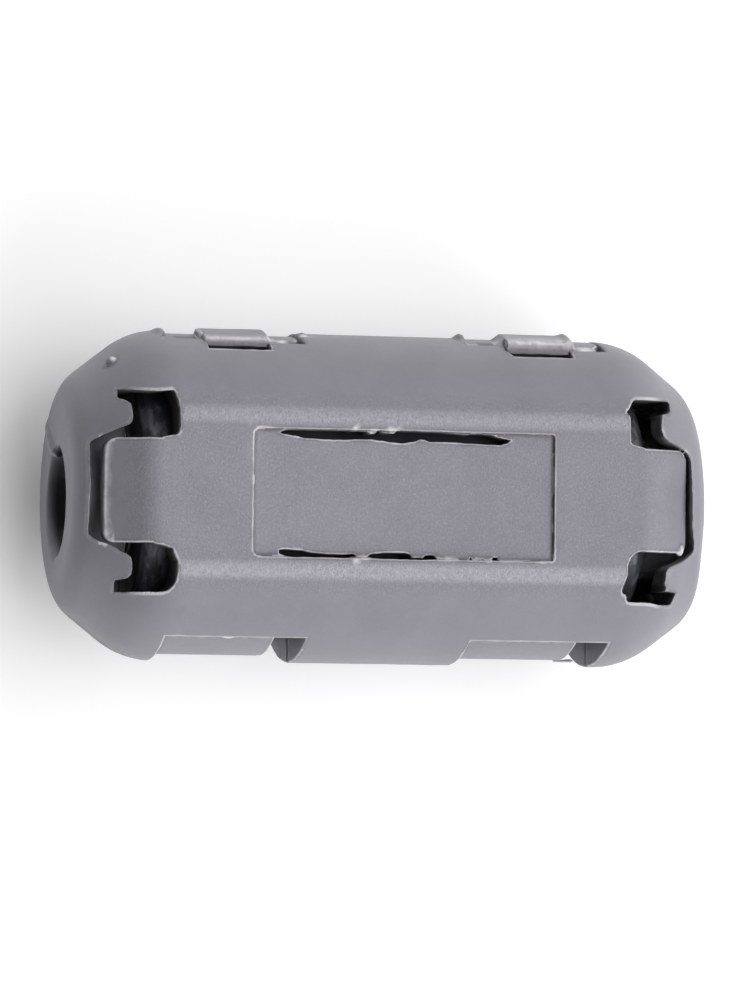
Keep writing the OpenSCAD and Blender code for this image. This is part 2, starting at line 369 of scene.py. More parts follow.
# Outlines of the square holes in the end of a half, as (|x|, |y|): left and right end, upper and lower hole.
# Each runs on into the slit round the tongue's tip and closes under the tongue.
HOLES = {
    "UL": [(9.6, 1.9), (9.5, 2.03), (9.18, 2.09), (8.98, 2.12), (8.88, 2.22), (8.84, 2.4), (8.84, 3.0), (8.87, 3.45),
           (8.95, 3.74), (9.03, 3.86), (9.2, 3.84), (9.55, 3.8), (9.96, 3.81), (10.37, 3.86), (10.94, 3.89), (11.0, 3.6),
           (10.95, 3.53), (10.83, 3.49), (10.69, 3.42), (10.59, 3.32), (10.56, 3.1), (10.56, 2.8), (10.6, 2.62),
           (10.7, 2.5), (10.91, 2.41), (11.24, 2.27), (11.68, 2.07), (11.95, 1.92), (12.06, 1.8), (12.09, 1.5),
           (12.1, -0.3), (11.2, -0.3), (11.2, 1.9)],
    "LL": [(9.9, 1.9), (9.75, 2.05), (9.44, 2.1), (9.25, 2.16), (9.08, 2.2), (9.04, 2.4), (8.94, 2.58), (8.87, 2.7),
           (8.86, 3.2), (8.88, 3.45), (8.97, 3.64), (9.12, 3.8), (9.3, 3.86), (10.98, 3.87), (11.03, 3.6), (11.02, 3.42),
           (10.87, 3.41), (10.6, 3.34), (10.52, 3.2), (10.51, 3.0), (10.54, 2.75), (10.6, 2.57), (10.75, 2.42),
           (10.97, 2.34), (11.09, 2.23), (11.48, 2.03), (11.7, 1.96), (11.95, 1.81), (12.08, 1.68), (12.11, 1.4),
           (12.1, -0.3), (11.2, -0.3), (11.2, 1.9)],
    "UR": [(9.7, 1.9), (9.6, 2.03), (9.31, 2.1), (9.1, 2.15), (9.0, 2.24), (8.99, 2.8), (9.01, 3.25), (8.88, 3.41),
           (9.05, 3.58), (9.2, 3.84), (9.32, 3.93), (10.87, 3.94), (10.95, 3.84), (10.9, 3.55), (10.8, 3.44),
           (10.47, 3.37), (10.39, 3.2), (10.31, 2.9), (10.3, 2.7), (10.37, 2.48), (10.6, 2.3), (11.05, 2.15),
           (11.4, 2.0), (11.54, 1.88), (11.64, 1.7), (11.67, 1.5), (11.66, -0.3), (11.2, -0.3), (11.2, 1.9)],
    "LR": [(9.5, 1.9), (9.35, 2.03), (9.23, 2.06), (9.05, 2.25), (8.94, 2.5), (8.92, 2.9), (8.88, 3.08), (8.8, 3.38),
           (8.79, 3.53), (8.84, 3.62), (8.97, 3.66), (9.02, 3.75), (9.04, 3.86), (9.12, 3.94), (10.05, 3.96),
           (10.45, 4.02), (10.9, 4.02), (11.02, 3.99), (11.08, 3.85), (11.14, 3.56), (10.97, 3.5), (10.62, 3.5),
           (10.62, 3.33), (10.54, 3.2), (10.53, 2.83), (10.57, 2.69), (10.68, 2.57), (11.1, 2.41), (11.33, 2.31),
           (11.52, 2.2), (11.67, 2.08), (11.79, 1.96), (11.85, 1.82), (11.84, 1.6), (11.76, 1.3), (11.69, 1.0),
           (11.66, 0.4), (11.66, -0.3), (11.2, -0.3), (11.2, 1.9)],
}
# The slits beside the leaf panel of the half that faces up, as (x, |y|): outer edge and panel's edge
SLIT_OUT = {
    1: [(-4.95, 2.3), (-4.75, 2.38), (-4.5, 2.43), (-2.15, 2.44), (-2.0, 2.4), (-1.85, 2.43), (-1.5, 2.43), (-1.38, 2.33),
        (-1.16, 2.34), (-1.05, 2.46), (-0.94, 2.46), (-0.86, 2.38), (-0.4, 2.37), (-0.3, 2.48), (1.3, 2.46), (2.0, 2.41),
        (2.5, 2.39), (3.0, 2.43), (3.45, 2.41), (3.75, 2.31), (4.0, 2.26), (4.25, 2.2)],
    -1: [(-4.95, 2.28), (-4.8, 2.36), (-4.55, 2.44), (-2.2, 2.45), (-1.95, 2.4), (-1.75, 2.38), (-1.4, 2.38), (-1.2, 2.43),
         (-0.9, 2.46), (0.9, 2.47), (1.5, 2.42), (2.6, 2.44), (4.0, 2.46)],
}
SLIT_IN = {
    1: [(-4.95, 2.3), (-4.75, 2.26), (-4.3, 2.2), (-3.9, 2.11), (-2.8, 2.08), (-1.3, 2.13), (-0.9, 2.08), (-0.5, 2.03),
        (0, 2.0), (0.3, 2.06), (0.7, 2.16), (1.1, 2.08), (1.7, 2.09), (2.5, 2.06), (3.2, 2.03), (3.8, 2.02), (4.05, 2.08),
        (4.25, 2.2)],
    -1: [(-4.95, 2.2), (-4.6, 2.16), (-4.1, 2.19), (-3.5, 2.28), (-3.0, 2.31), (-2.3, 2.32), (-1.95, 2.3), (-1.8, 2.39),
         (-1.45, 2.39), (-1.2, 2.28), (-0.75, 2.23), (0.1, 2.22), (0.28, 2.26), (0.36, 2.4), (0.8, 2.4), (0.9, 2.3),
         (1.2, 2.29), (1.35, 2.4), (2.6, 2.44), (2.7, 2.34), (2.78, 2.45), (2.9, 2.4), (3.15, 2.39), (3.25, 2.48),
         (3.5, 2.48), (3.58, 2.33), (3.75, 2.33), (3.84, 2.48), (4.0, 2.48)],
}


def tongue_top(ax):
    t = np.clip((ax - BEND_X) / (BEND_END - BEND_X), 0, 1)
    return H - DROP * t * t - np.maximum(ax - BEND_END, 0) * SLOPE


def barrel(p, up):
    """Outside of a half before anything is cut: a round body that narrows at both ends. The right end is
    fuller on the hinge side, and the left end of the lower half is a little shorter."""
    x, y = p[:, 0], p[:, 1]
    ax, rho = np.abs(x), np.hypot(y, p[:, 2])
    ca, sa = L - CONE_X, R - FACE_R
    full = 0.13 - 0.024 * np.clip(y, -5, 5) + 0.15 * np.exp(-(((y + 3.5) / 1.2) ** 2)) + along(y, [(0.8, 0), (3.6, 0.1)])
    full = np.where(x > 0, full, 0.0)
    blunt = np.where(x > 0, along(y, [(-4.2, 0.36), (-1.2, 0.62)]), 0.62)
    cone = ((rho - R) * ca + (ax - CONE_X) * sa) / np.hypot(ca, sa) - full
    t = np.clip((y - 2.4) / 3.8, 0, 1)
    swell = 0.07 * t**3 * (10 - 15 * t + 6 * t * t)
    reach = np.where(x > 0, L, L + 0.1 if up else L - 0.03)
    return smax(smax(rho - R - swell, cone, 0.73), ax - reach, blunt)


def collar(ax, rho):
    return smax(rho - COLLAR_R, COLLAR_X - ax, 0.15)


def hollow(p, ax, rho, up):
    """The room inside: the core's seat, a chamber with a collar at each end and the cable hole, which is flared in
    the lower half."""
    x, ay = p[:, 0], np.abs(p[:, 1])
    seat = smax(rho - CAV_R, ax - CAV_X, 0.1)
    wall = np.where(x > 0, WALL_R, 11.8)
    dx, dr = 12.0 - CAV_X - 0.1, CAV_R - 3.55
    end = ((rho - CAV_R) * dx + (ax - CAV_X - 0.1) * dr) / np.hypot(dx, dr)
    end = np.maximum(np.maximum(end, ay - 3.9), np.maximum(ax - wall, CAV_X - 0.2 - ax))
    end = smax(end, -collar(ax, rho), 0.1)
    t = np.clip((ax - 10.9) / 0.35, 0, 1)
    t = t * t * (3 - 2 * t)
    hole = np.hypot(p[:, 1] - END_Y * t * (x < 0), p[:, 2]) - CAB_R + t * (CAB_R - np.where(x < 0, END_L, END_R))
    m = ax > 11.7
    if m.any():
        flare = np.clip((ax[m] - 12.1) / 0.4, 0, 1.3) ** 2
        wide = 0.27 - 0.14 * np.clip(p[m, 1] / 1.5, -1, 1)
        hole[m] += 0.03 * noise(p[m] * [0.5, 1, 1], 0.5, 33) - flare * np.where((x[m] > 0) | up, 0.08, wide)
    return np.minimum(np.minimum(seat, hole), end)


def lips(p):
    """Raised lips beside the recesses of the latch arms, and the gate's pip."""
    d = ball(p, (-8.79, 6.21, 0.85), (0.27, 0.3, 0.8))
    d = np.minimum(d, ball(p, (3.27, 6.24, 0.9), (0.24, 0.36, 0.6)))
    d = np.minimum(d, ball(p, (-3.06, 6.17, 0.95), (0.2, 0.3, 0.5)))
    d = np.minimum(d, ball(p, (-10.9, 5.02, 2.32), (0.22, 0.23, 0.2)))
    return d


def hole_plan(x, y):
    """Distance to the outline of the square holes and of the slit that joins them."""
    ax = np.abs(x)
    out = np.empty(len(x))
    for end, m in (("L", x < 0), ("R", x >= 0)):
        if m.any():
            out[m] = np.minimum(polygon(ax[m], y[m], HOLES["U" + end]), polygon(ax[m], -y[m], HOLES["L" + end]))
    return out


def shell(p, up, relief=True):
    """A half shell above the parting plane. up is the half that has the slots for the hooks."""
    x, y, z = p[:, 0], p[:, 1], p[:, 2]
    ax, ay = np.abs(x), np.abs(y)
    rho = np.hypot(y, z)
    seed = 10 if up else 40
    d = smax(barrel(p, up), z - H, 0.06)
    # mould seam along the parting plane
    s = z < 0.4
    if s.any():
        d[s] -= (0.018 + 0.014 * noise(p[s] * [1, 1, 0.2], 0.6, seed + 7)) * np.exp(-((z[s] / 0.1) ** 2))
    d = smax(d, -hollow(p, ax, rho, up), 0.08)

    if not up:  # a ridge beside the left cable hole
        m = (x < -11.6) & (y > 0.8) & (y < 3.8) & (z < 3.2)
        if m.any():
            q = p[m] - [-12.34, 2.0, 1.5]
            q = np.stack([q[:, 0], q[:, 1] * 0.55 + q[:, 2] * 0.84, q[:, 2] * 0.55 - q[:, 1] * 0.84], 1)
            d[m] = smin(d[m], ball(q, (0, 0, 0), (0.2, 0.95, 0.17)), 0.3)

    # leaf panel: a step with soft corners, bowed inwards, and a ragged slit along each long side
    m = (z > 4.0) & (ax < 6.5) & (ay < 3.0)
    if m.any():
        q, xx, yy, zz = p[m], x[m], y[m], z[m]
        k = np.clip(1 - (xx / PL) ** 2, 0, 1)
        e = np.clip(np.abs(yy) / PW, 0, 1) ** 4
        level = H - PSTEP - PBOW * k + 0.035 * e + 0.008 * noise(q, 1.3, seed + 6)
        corner = np.where(xx < 0, 0.24, 0.12)
        plan = rounded_box(xx, yy, PL, PW, corner) + np.where(xx < 0, 0.02, 0.01) * noise(q, 0.35, seed)
        s = smax(d[m], -smax(plan, level - zz, 0.08), 0.05)
        fine = noise(q * [1, 1, 0.2], 0.2, seed + 1)
        if up:
            yo = np.where(yy > 0, along(xx, SLIT_OUT[1]), along(xx, SLIT_OUT[-1]))
            yi = np.where(yy > 0, along(xx, SLIT_IN[1]), along(xx, SLIT_IN[-1]))
            x1 = np.where(yy > 0, 4.22, 3.9)
        else:
            yo = 2.44 + 0 * xx
            yi = 2.21 + 0.07 * noise(q * [1, 0, 0], 1.1, seed + 2) + 0.04 * np.sign(yy)
            x1 = 4.6 + 0 * xx
        slit = np.maximum(np.abs(yy) - yo, yi - np.abs(yy)) + 0.012 * fine
        slit = np.maximum(slit, np.maximum(-4.9 - xx, xx - x1))
        d[m] = smax(s, -slit, 0.04)

    # square holes and the slit round the tongue's tip
    m = (z > 1.6) & (ax > 8.3) & (ay < 4.6)
    if m.any():
        q, xx, xa, yy, ya, zz = p[m], x[m], ax[m], y[m], ay[m], z[m]
        hole = hole_plan(xx if up else np.where(xx > 0, -xx, xx), yy if up else yy * np.sign(xx))
        hole += 0.012 * noise(q, 0.25, seed + 3)
        s = smax(d[m], -smax(smax(hole, 2.0 - zz, 0.05), -collar(xa, rho[m]), 0.05), 0.06)
        c = 1 / np.hypot(1, SLOPE)
        over = np.where(xa > BEND_END, (zz - tongue_top(xa)) * c, zz - tongue_top(xa))
        slant = (H - DROP - TT - (xa - CAV_X) * SLOPE - zz) * c
        under = np.where(xa < CAV_X, CAV_R + 0.03 - zz, slant)
        round_by = np.where(yy > 0, 0.46, 0.36)
        tip = TIP + np.where(xx < 0, 0.05 * (1 - (yy / TW) ** 2), 0)
        plan = rounded_box(xa, ya, tip, TW, round_by) + 0.012 * noise(q, 0.35, seed + 4)
        tongue = smax(smax(over, under, 0.12), plan, 0.07)
        if up:  # a burr hangs from one corner of the right tongue
            burr = np.minimum(ball(q, (11.24, -2.04, 4.76), (0.12, 0.07, 0.1)), ball(q, (11.34, -1.9, 4.73), (0.07, 0.14, 0.1)))
            tongue = smin(tongue, burr, 0.08)
        tongue = np.maximum(tongue, BEND_X - 0.6 - xa)
        cut = np.maximum(np.maximum(-over, plan - 0.03), BEND_X - xa)
        d[m] = np.minimum(np.maximum(s, -cut), tongue)

    # notches for the hinge straps
    m = (y < -2.9) & (z < 4.0)
    if m.any():
        q, xx, yy, zz = p[m], x[m], y[m], z[m]
        ragged = 0.014 * noise(q, 0.35, seed + 5)
        roof = HNH - 0.11 * np.exp(-(((xx + 6.35) / 0.2) ** 2)) if up else HNH
        notch = np.maximum(np.abs(np.abs(xx) - NX) - NW / 2, zz - roof) + ragged
        d[m] = smax(d[m], -np.maximum(notch, yy + 3.5), 0.08)

    # latch side: recess for the arm, and the slot that its hook catches in
    m = (y > 2.9) & (z < 4.0)
    if m.any():
        q, xx, yy, zz, rr = p[m], x[m], y[m], z[m], rho[m]
        ragged = 0.016 * noise(q, 0.3, seed + 6)
        roof = LNH - np.where(xx - np.sign(xx) * NX < -1.2, np.where(xx < 0, 0.25, 0.38), 0) if up else LROOT
        notch = np.maximum(np.abs(np.abs(xx) - NX) - NW / 2, zz - roof) + ragged
        s = smax(d[m], -np.maximum(notch, FLOOR_R - rr), 0.08)
        if up:
            slant = np.where(xx > 0, 0.4 * (zz - LEDGE), 0.0)
            slot = np.maximum(np.abs(np.abs(xx) - NX) - SLOT_W / 2, 4.63 + slant - np.abs(xx))
            slot = smax(slot, -7.24 - xx, 0.25)
            slot = np.maximum(slot, np.maximum(zz - SLOT_TOP, LEDGE - zz)) + ragged
            s = smax(s, -np.maximum(slot, 3.5 - yy), 0.07)
            s = smin(s, lips(q), 0.1)
        d[m] = s

    # the flats carry a spark-eroded texture that stands up most along their long edges
    t = z > 4.2
    if relief and t.any():
        q = p[t]
        fade = np.clip((q[:, 2] - 4.2) / 0.9, 0, 1)
        crease = np.exp(-(((np.abs(q[:, 1]) - 2.98) / 0.26) ** 2)) * np.clip((10 - ax[t]) / 1.2, 0, 1)
        d[t] -= fade * (crease * (0.011 * noise(q, 0.2, seed + 8) + 0.007 * noise(q, 0.45, seed + 11)) + 0.006 * noise(q, 2.4, seed + 9))
    return smax(d, GAP - z, 0.05)


def shell_light(p, up):
    """Where the plastic is stretched thin or torn, it turns pale, and painted highlights on the left tongue's rounded
    tip and corners: 0 to 1.
    """
    x, y, z = p[:, 0], p[:, 1], p[:, 2]
    if not up:  # only the ridge beside the cable hole
        t = np.clip((y - 1.4) / 1.05, 0, 1)
        near = np.hypot(y - 1.4 - 1.05 * t, z - 0.75 - 1.55 * t)
        return 0.3 * np.clip(1.5 - near / 0.16, 0, 1) * (x < -12.25)
    spots = [
        ((-1.87, -2.53, 5.6), 0.15), ((-1.55, -2.43, 5.5), 0.14), ((1.8, -2.4, 5.45), 0.12), ((2.85, -2.45, 5.5), 0.08),
        ((-2.0, 2.5, 5.62), 0.1), ((-1.25, 2.42, 5.6), 0.14), ((-0.6, 2.44, 5.6), 0.16), ((-0.42, 2.44, 5.6), 0.12),
        ((-6.35, -5.55, 3.15), 0.2), ((-3.1, 6.25, 1.5), 0.2), ((3.34, 6.5, 0.9), 0.2),
        ((-10.85, 5.17, 2.45), 0.13), ((11.26, -2.06, 4.84), 0.12), ((11.36, -1.9, 4.8), 0.12), ((-11.0, 3.22, 4.62), 0.07),
    ]
    out = np.zeros(len(p))
    for c, r in spots:
        out = np.maximum(out, np.clip(1.4 - np.linalg.norm(p - np.array(c), axis=1) / r, 0, 1))
    # painted highlight along the rounded tip of the left tongue and at its corners
    drop = z - tongue_top(np.abs(x))
    tip = np.clip((-x - TIP + 0.16 - 0.05 * (1 - (y / TW) ** 2)) / 0.08, 0, 1) * (x > -11.75) * (np.abs(y) < 2.1) * (z > 3.9)
    corner = np.clip((np.hypot(np.abs(x) - 11.2, np.abs(y) - 1.66) - 0.17) / 0.1, 0, 1)
    corner *= (x < -11.2) * (x > -11.7) * (np.abs(y) > 1.66) * (np.abs(y) < 2.05) * (z > 3.9)
    corner *= np.hypot(np.abs(x) - 11.2, np.abs(y) - 1.62) < 0.5
    out = np.maximum(out, np.maximum(tip, corner) * np.clip((drop + 0.5) / 0.2, 0, 1) * np.clip((0.16 - drop) / 0.05, 0, 1) * 0.9)
    # the lip of the left cable hole
    lip = np.clip(1.4 - np.abs(np.hypot(y - END_Y, z) - END_L - 0.08) / 0.07, 0, 1) * (x < -12.3)
    return np.maximum(out, lip * 0.22)


def shell_painted_shade(p, up):
    """Painted shade inside the holes, slits and slots, stronger the further down a point lies: 0 to 1."""
    x, y, z = p[:, 0], p[:, 1], p[:, 2]
    ax, ay, rho = np.abs(x), np.abs(y), np.hypot(p[:, 1], p[:, 2])
    depth = -smax(barrel(p, up), z - H, 0.06)
    wall = np.where(x > 0, WALL_R, WALL_L)
    holes = (ax > 8.6) & (ax < wall + 0.12) & (ay < 4.15) & (z > 1.85)
    top = (ay < TW + 0.05) & (ax < TIP + 0.04) & (z > tongue_top(ax) - 0.1)
    slit = np.clip((ax - TIP + 0.1) / 0.1, 0, 1) * np.clip((2.2 - ay) / 0.2, 0, 1)
    out = np.where(holes & ~top, np.clip((depth - 0.1) / 0.3, 0, 1) * (0.85 - 0.25 * slit), 0.0)
    # painted shade in the chambers at the ends and the cable hole
    ring = (ax > COLLAR_X - 0.1) & (rho > 3.0) & (z > 1.8) & (ay < np.where(x > 0, 3.2, 2.8))
    inside = (hollow(p, ax, rho, up) < 0.04) & (ax > CAV_X - 0.15) & (z > GAP + 0.04) & ~top & ~ring
    out = np.maximum(out, np.where(inside, np.clip((12.46 - ax) / 0.2, 0, 1) * np.where(rho < 2.9, 0.42, 0.85), 0))
    # painted shade, in streaks, round the collars at the ends
    streaks = np.clip(0.06 + 0.36 * noise(p * [1, 0.12, 0.12], 0.09, 31), 0, 1)
    out = np.where(ring & (depth > 0.5) & ~top, streaks, out)
    slits = (z > 4.3) & (ax < 5.0) & (ay > 1.9) & (ay < 2.55)
    out = np.maximum(out, np.where(slits, np.clip((depth - 0.4) / 0.25, 0, 0.9), 0))
    slot = (y > 3.4) & (np.abs(ax - NX) < 1.4) & (z > LEDGE - 0.1) & (z < SLOT_TOP + 0.1)
    return np.maximum(out, np.where(slot, np.clip((depth - 0.12) / 0.3, 0, 0.9), 0))


def shell_rim_damp(p):
    """Where the painted highlight along the edges is held back: the walls beyond the tongues, the recesses of the latch
    arms, the parting edges and the ridge beside the left cable hole.
    """
    x, y, z = p[:, 0], p[:, 1], p[:, 2]
    ax, ay = np.abs(x), np.abs(y)
    wall = np.clip((ax - 10.2) / 0.4, 0, 1) * ((ay > 2.01) | (ax > TIP + 0.04)) * (z > 2) * 0.75
    latch = np.clip((y - 5.2) / 0.3, 0, 1) * (z < 3.4) * (0.75 - 0.6 * np.clip((z - 2.65) / 0.25, 0, 1))
    parting = 0.65 * np.clip((0.4 - z) / 0.2, 0, 1)
    ridge = 0.8 * ((x < -12.2) & (y > 1.2) & (y < 3.2))
    return np.maximum(np.maximum(wall, latch), np.maximum(parting, ridge))


# ---------------------------------------------------------------- core, straps and latch arms


def core(p):
    """Half of the ferrite ring, above the parting plane."""
    ax, rho = np.abs(p[:, 0]), np.hypot(p[:, 1], p[:, 2])
    d = smax(np.maximum(rho - CORE_R, (rho + ax - CORE_R - CORE_X + CORE_C) * np.sqrt(0.5)), ax - CORE_X, 0.06)
    d = smax(d, CAB_R + 0.01 - rho, 0.12)
    d = smax(d, GAP - p[:, 2], 0.05)
    return d - 0.008 * noise(p, 0.5, 71)


def strap(p, side):
    """Living hinge: a curved leaf that thins to a web at the parting plane, rooted in both shells."""
    x, y, z = p[:, 0], p[:, 1], p[:, 2]
    rho = np.hypot(y, z)
    a = np.abs(z)
    root = np.exp(-(((a - 2.92) / 0.24) ** 2))
    rough = root * (0.04 * noise(p * [0.7, 1, 1], 0.16, 81 + side) + 0.025 * np.cos((a - 2.92) * 16))
    outer = rho - STRAP_R - rough + 0.03 * np.exp(-((z / 0.25) ** 2))
    groove = (STRAP_T - WEB_T) * np.clip((0.95 - a) / 0.55, 0, 1)
    inner = STRAP_R - STRAP_T + groove - rho
    d = smax(outer, inner, 0.1)
    x0 = side * NX - NW / 2 + 0.04
    wave = 0.03 * noise(p * [0, 1, 1], 0.9, 83 + side)
    d = smax(d, np.abs(x - (x0 + 2.2)) - 2.2 + wave, 0.1)
    d = np.maximum(d, a - 3.35)
    if side > 0:  # a torn bit of flash beside the right strap
        m = (x > 7.2) & (x < 9) & (a < 0.6)
        if m.any():
            q = p[m]
            n = noise(q * [1, 1, 0.4], 0.28, 90)
            fin = np.abs(q[:, 1] + 6.18 + 0.1 * noise(q, 0.5, 91)) - 0.045
            fin = np.maximum(fin, np.maximum(7.5 - q[:, 0], q[:, 0] - 8.2 + 0.2 * n))
            fin = np.maximum(fin, np.abs(q[:, 2] - 0.12 - 0.25 * (q[:, 0] - 7.7)) - 0.15 - 0.12 * n)
            d[m] = smin(d[m], fin, 0.04)
    return np.maximum(d, -y - 6.42)


def strap_light(p, side):
    a = np.abs(p[:, 2])
    band = np.clip(1.2 - np.abs(a - 2.92) / 0.28, 0, 1) * (0.5 + 0.5 * noise(p, 0.14, 84))
    torn = np.clip((p[:, 0] - 7.75) / 0.1, 0, 1) if side > 0 else 0
    return np.maximum(band * 0.45, torn * 0.7)


def arm(p, side):
    """Latch arm: a curved plate rooted in the lower shell, its hook in the middle of its upper edge."""
    x, y, z = p[:, 0], p[:, 1], p[:, 2]
    rho = np.hypot(y, z)
    u = x - side * NX
    ragged = 0.014 * noise(p, 0.3, 101 + side)
    # a plate that fills its recess but for a gap at the right, narrower below
    right = 2.44 + 0.24 * np.clip((2.05 - z) / 0.4, 0, 1)
    proud = np.clip((u - 1.2) / 0.2, 0, 1) * np.clip((z - 1.9) / 0.2, 0, 1)
    outer = ARM_R + (0.05 + 0.11 * proud if side < 0 else 0.14)
    d = smax(rho - outer, outer - ARM_T - rho, 0.12)
    d = smax(d, np.maximum(-2.735 - u, u - right) + ragged, 0.1)
    # the upper edge dips beside the hook, most towards the left end
    dip = 0.05 * np.clip((np.abs(u) - 1.2) / 0.4, 0, 1) + (0.27 if side < 0 else 0.4) * np.clip((-u - 1.2) / 0.2, 0, 1)
    top = LNH - 0.06 - dip
    d = smax(d, z - top + ragged, 0.1)
    # hook: the nib behind the ledge, with a sloped top
    nib = smax(rho - 6.4, 5.2 - rho, 0.1)
    nib = smax(nib, (z - 2.94 + np.maximum(rho - 5.9, 0) * 0.35), 0.12)
    nib = np.maximum(nib, 2.44 - z)
    nib = smax(nib, np.abs(u) - 1.2 + ragged, 0.1)
    # the pad that stands proud of the case
    if side < 0:
        plan = np.maximum(-7.38 - x, x + 4.66)
        height = 6.64 + 0.02 * noise(p, 0.5, 105)
    else:
        plan = np.maximum(4.46 - x, x - 7.62)
        height = 6.44 + 0.3 * np.clip((x - 4.52) / 0.28, 0, 1) + 0.09 * np.exp(-(((x - 7.34) / 0.16) ** 2))
        height = height - 0.2 * np.clip((x - 7.46) / 0.2, 0, 1)
    pad = smax(rho - height, plan + ragged, 0.14)
    top = np.where(np.abs(u) < 1.24, 2.64, np.where(u > 0, 2.46, 2.24 if side < 0 else 2.11)) + 0.022 * noise(p * [1, 0.5, 0.5], 0.2, 107)
    pad = smax(pad, np.maximum(z - top, 0.75 - z + (rho - 6.3) * 1.2), 0.1)
    pad = np.maximum(pad, 5.9 - rho)
    d = smin(smin(d, nib, 0.08), pad, 0.08)
    # groove between the pad and the neck of the hook
    groove = np.maximum(np.maximum(np.abs(u) - 1.25, 1.9 - z), np.abs(y - 5.6) - 0.145) + ragged
    d = smax(d, -groove, 0.06)
    return np.maximum(d, -2.1 - z)


def arm_light(p, side):
    x, y, z = p[:, 0], p[:, 1], p[:, 2]
    u = x - side * NX
    rho = np.hypot(y, z)
    near, wide = (6.06, 0.12) if side < 0 else (6.22, 0.2)
    band = np.exp(-(((y - near) / wide) ** 2)) * (rho > 6.4) * (z > 1.5) * (0.6 + 0.25 * noise(p, 0.22, 110))
    band = band * (np.abs(u) < 1.6)
    at, wide, low = (1.85, 0.24, 2.2) if side < 0 else (2.02, 0.36, 2.0)
    torn = np.clip(1.3 - np.abs(u - at) / wide, 0, 1) * np.clip((z - low) / 0.1, 0, 1) * np.clip((rho - 5.9) / 0.2, 0, 1)
    return np.clip(np.maximum(band, torn), 0, 1)


def arm_painted_shade(p, side):
    """Painted shade inside the groove and on the hook behind it, fading out over the top of the pad: 0 to 1."""
    y, z = p[:, 1], p[:, 2]
    inside = (np.abs(p[:, 0] - side * NX) < 1.34) & (y < 5.775) & (y > 4.4) & (z > 1.8)
    top = np.clip((6.02 - y) / 0.26, 0, 1) * (z > 2.3) * (y > 5.2)
    out = np.maximum(np.where(inside, 0.36, 0.0), top * (0.4 + 0.14 * noise(p * [1, 0.2, 0.2], 0.12, 112)))
    # and painted shade in the gap above the plate beside the hook, and a thin painted dark line beside the left hook
    u = p[:, 0] - side * NX
    gap = (u < -1.42) * (u > -2.3) * np.clip((z - (1.45 if side < 0 else 1.62)) / 0.1, 0, 1) * (np.hypot(y, z) > 5.9)
    line = (u > 1.3) * np.exp(-(((z - 2.02) / 0.06) ** 2)) * (np.hypot(y, z) > 5.9) * (side < 0)
    return np.maximum(out, np.maximum(gap * 0.6, line * 0.5))


def ride(o, body, slot, *nodes):
    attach(o, body)
    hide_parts(*nodes)


fine = 0.078
cap = 120000
box = ((-12.75, -6.75, -0.2), (12.75, 6.75, 5.95))
shells = []
for name, up in (("upper_case", True), ("lower_case", False)):
    shells.append(build(
        name, lambda p: shell(p, up), *box, fine, cap, not up,
        masks={"pale_and_highlight": lambda p: shell_light(p, up), "painted_shade": lambda p: shell_painted_shade(p, up), "soft": shell_rim_damp},
        plain=lambda p: shell(p, up, False)))
upper_case, lower_case = shells
core_pitch = 0.11
core_box = ((-10.3, -5.1, -0.2), (10.3, 5.1, 5.1))
upper_ring = build("upper_ring", core, *core_box, core_pitch, 60000)
lower_ring = build("lower_ring", core, *core_box, core_pitch, 60000, True)
small = 0.06
straps, arms = [], []
for side, word in ((-1, "left"), (1, "right")):
    c = side * NX
    straps.append(build(
        f"strap_{word}", lambda p: strap(p, side), (c - 3, -6.6, -3.6), (c + 3, -4.6, 3.6), small, 60000,
        masks={"pale_and_highlight": lambda p: strap_light(p, side)}))
    arms.append(build(
        f"latch_{word}", lambda p: arm(p, side), (c - 3, 4.0, -2.3), (c + 3, 6.85, 3.2), small, 60000,
        masks={"pale_and_highlight": lambda p: arm_light(p, side), "painted_shade": lambda p: arm_painted_shade(p, side),
               "soft": lambda p: 0.8 * np.clip((6.05 - p[:, 1]) / 0.1, 0, 1)}))

# ---------------------------------------------------------------- materials


